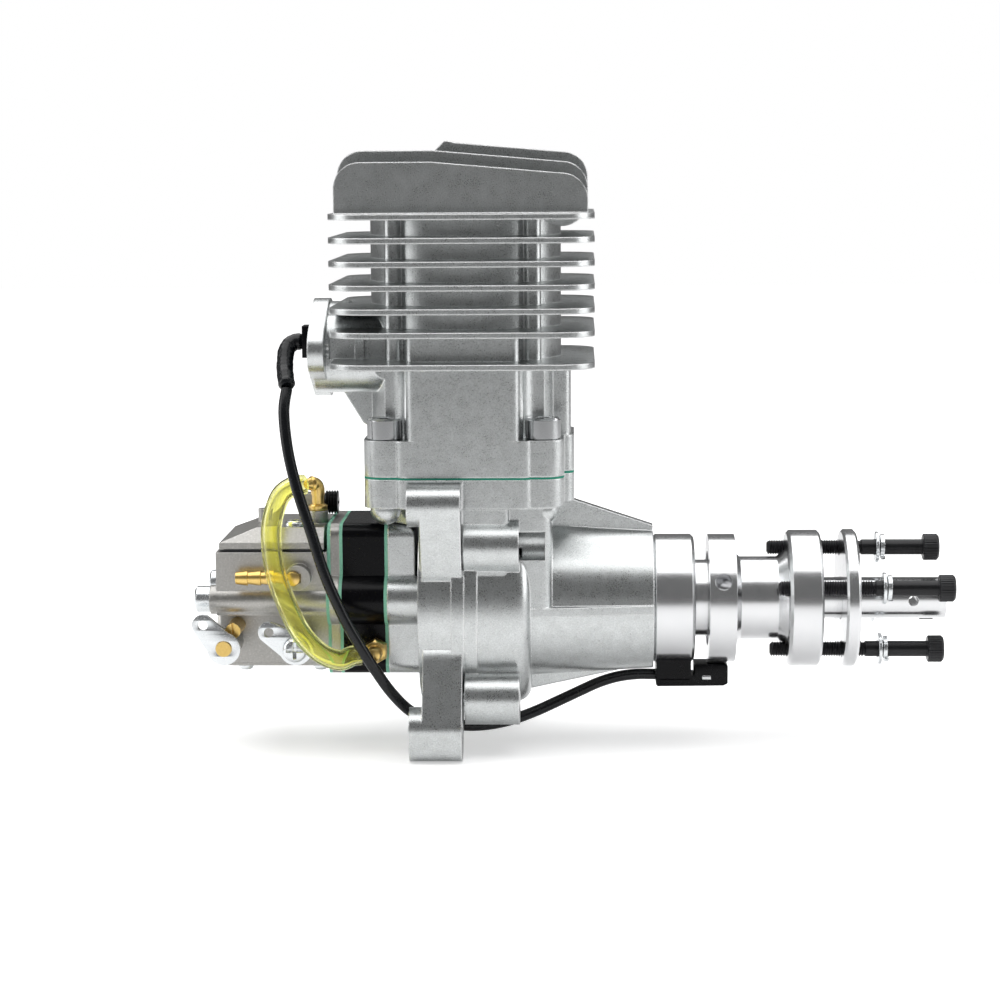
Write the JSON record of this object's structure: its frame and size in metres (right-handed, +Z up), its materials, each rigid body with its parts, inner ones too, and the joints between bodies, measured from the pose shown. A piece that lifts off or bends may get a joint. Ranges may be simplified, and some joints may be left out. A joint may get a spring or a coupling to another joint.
{
  "type": "model aircraft engine",
  "caption": "Single-cylinder two-stroke petrol engine with finned cylinder, split crankcase on four lugs, reed-valve carburettor at the rear and propeller drive hub in front.",
  "frame": {"origin": "centre of the four mounting lugs' rear faces, on the crank axis", "axes": "+X forward along the crank to the propeller, +Z up along the cylinder"},
  "size_m": [0.2387, 0.084, 0.1906],
  "materials": {
    "cast_aluminium": "fine cast grain, satin",
    "machined_aluminium": "turned, bright",
    "carburettor_zinc": "die-cast, grainy",
    "zinc_plate": "bright zinc plate",
    "steel": "satin",
    "black_oxide": "black oxide",
    "black_plastic": "moulded",
    "black_rubber": "matt",
    "green_gasket": "matt fibre",
    "brass": "turned",
    "clear_yellow_hose": "clear, tinted yellow",
    "petal_composite": "woven composite"
  },
  "bodies": {
    "engine": {"crankcase_front": "cast_aluminium", "crankcase_rear": "cast_aluminium", "case_bolts": "steel", "cylinder": "cast_aluminium", "base_gasket": "green_gasket", "cylinder_bolts": "steel", "main_bearing_outer": "steel", "bearing_balls": "steel", "shaft_seal": "black_rubber", "sensor_collar": "machined_aluminium", "sensor_holder": "black_plastic", "sensor_body": "black_plastic", "sensor_screw": "steel", "sensor_cable": "black_rubber", "cable_sleeve": "black_rubber", "cable_plug": "black_plastic", "reed_block": "black_plastic", "reed_cage": "machined_aluminium", "reed_petals": "petal_composite", "reed_stops": "zinc_plate", "intake_gaskets": "green_gasket", "carb_plate": "carburettor_zinc", "carb_body": "carburettor_zinc", "pump_gasket": "black_rubber", "pump_cover": "carburettor_zinc", "metering_cover": "carburettor_zinc", "cover_screws": "zinc_plate", "carb_bolts": "zinc_plate", "fuel_nipple": "brass", "pulse_elbow": "brass", "pulse_nipple": "brass", "pulse_hose": "clear_yellow_hose", "mixture_screws": "brass", "idle_screw": "black_plastic", "idle_spring": "steel"},
    "crankshaft": {"crankshaft": "steel", "main_bearing_inner": "steel", "prop_hub": "machined_aluminium", "trigger_ring": "machined_aluminium", "trigger_magnet": "steel", "hub_key": "steel", "prop_bolts": "black_oxide", "flat_washers": "zinc_plate", "spring_washers": "zinc_plate", "centre_stud": "machined_aluminium"},
    "clamp_plate": {"prop_plate": "machined_aluminium"},
    "piston": {"piston": "machined_aluminium", "piston_rings": "steel", "wrist_pin": "steel", "rod_bearings": "steel", "conrod": "steel", "crank_pin": "steel"},
    "throttle": {"throttle_shaft": "steel", "throttle_plate": "brass", "throttle_lever": "zinc_plate", "throttle_screw": "zinc_plate"},
    "choke": {"choke_shaft": "brass", "choke_plate": "brass", "choke_lever": "zinc_plate"}
  },
  "joints": [
    {"name": "crank_spin", "type": "hinge", "parent": "engine", "child": "crankshaft", "pos_m": [0, 0, 0], "axis": [1, 0, 0], "continuous": true},
    {"name": "plate_slide", "type": "slide", "parent": "crankshaft", "child": "clamp_plate", "axis": [1, 0, 0], "range_m": [-0.0068, 0.0068]},
    {"name": "piston_slide", "type": "slide", "parent": "engine", "child": "piston", "axis": [0, 0, 1], "range_m": [0, 0.036]},
    {"name": "throttle_turn", "type": "hinge", "parent": "engine", "child": "throttle", "pos_m": [-0.036, 0, -0.0115], "axis": [0, 1, 0], "range_deg": [0, 75], "stiffness_Nm_per_rad": 0.01},
    {"name": "choke_turn", "type": "hinge", "parent": "engine", "child": "choke", "pos_m": [-0.0586, 0, -0.0115], "axis": [0, 1, 0], "range_deg": [0, 75]}
  ]
}
